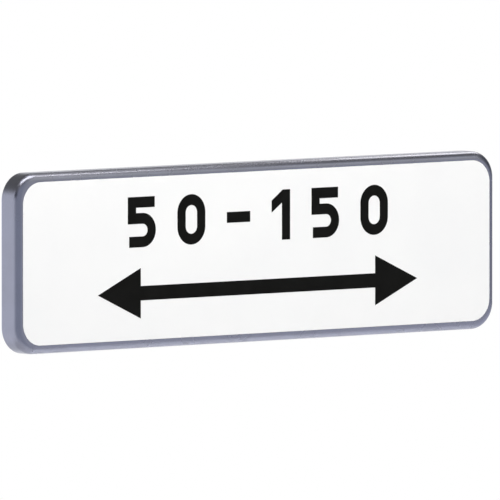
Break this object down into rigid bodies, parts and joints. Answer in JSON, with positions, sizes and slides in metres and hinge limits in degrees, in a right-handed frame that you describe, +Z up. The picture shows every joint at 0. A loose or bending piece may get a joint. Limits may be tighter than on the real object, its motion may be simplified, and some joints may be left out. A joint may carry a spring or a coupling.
{
  "type": "supplementary traffic sign",
  "caption": "Wide road sign plate: shallow pressed tray with rounded folds and corners, white face film and slotted rear fixing rails.",
  "frame": {"origin": "centre of the plane that the rear faces of both rails share, where the post clamps bear", "axes": "+X along the sign, to the right as seen from the front; +Y to the rear, so the face looks along -Y; +Z up"},
  "size_m": [0.7, 0.0264, 0.2],
  "materials": {
    "sheet": "satin, slightly blue",
    "film": "white reflective film, smooth",
    "rail": "mill finish",
    "legend": "black film, smooth"
  },
  "bodies": {
    "root": {"panel_shell": "sheet", "face_film": "film", "rail_upper": "rail", "rail_lower": "rail"}
  },
  "joints": []
}
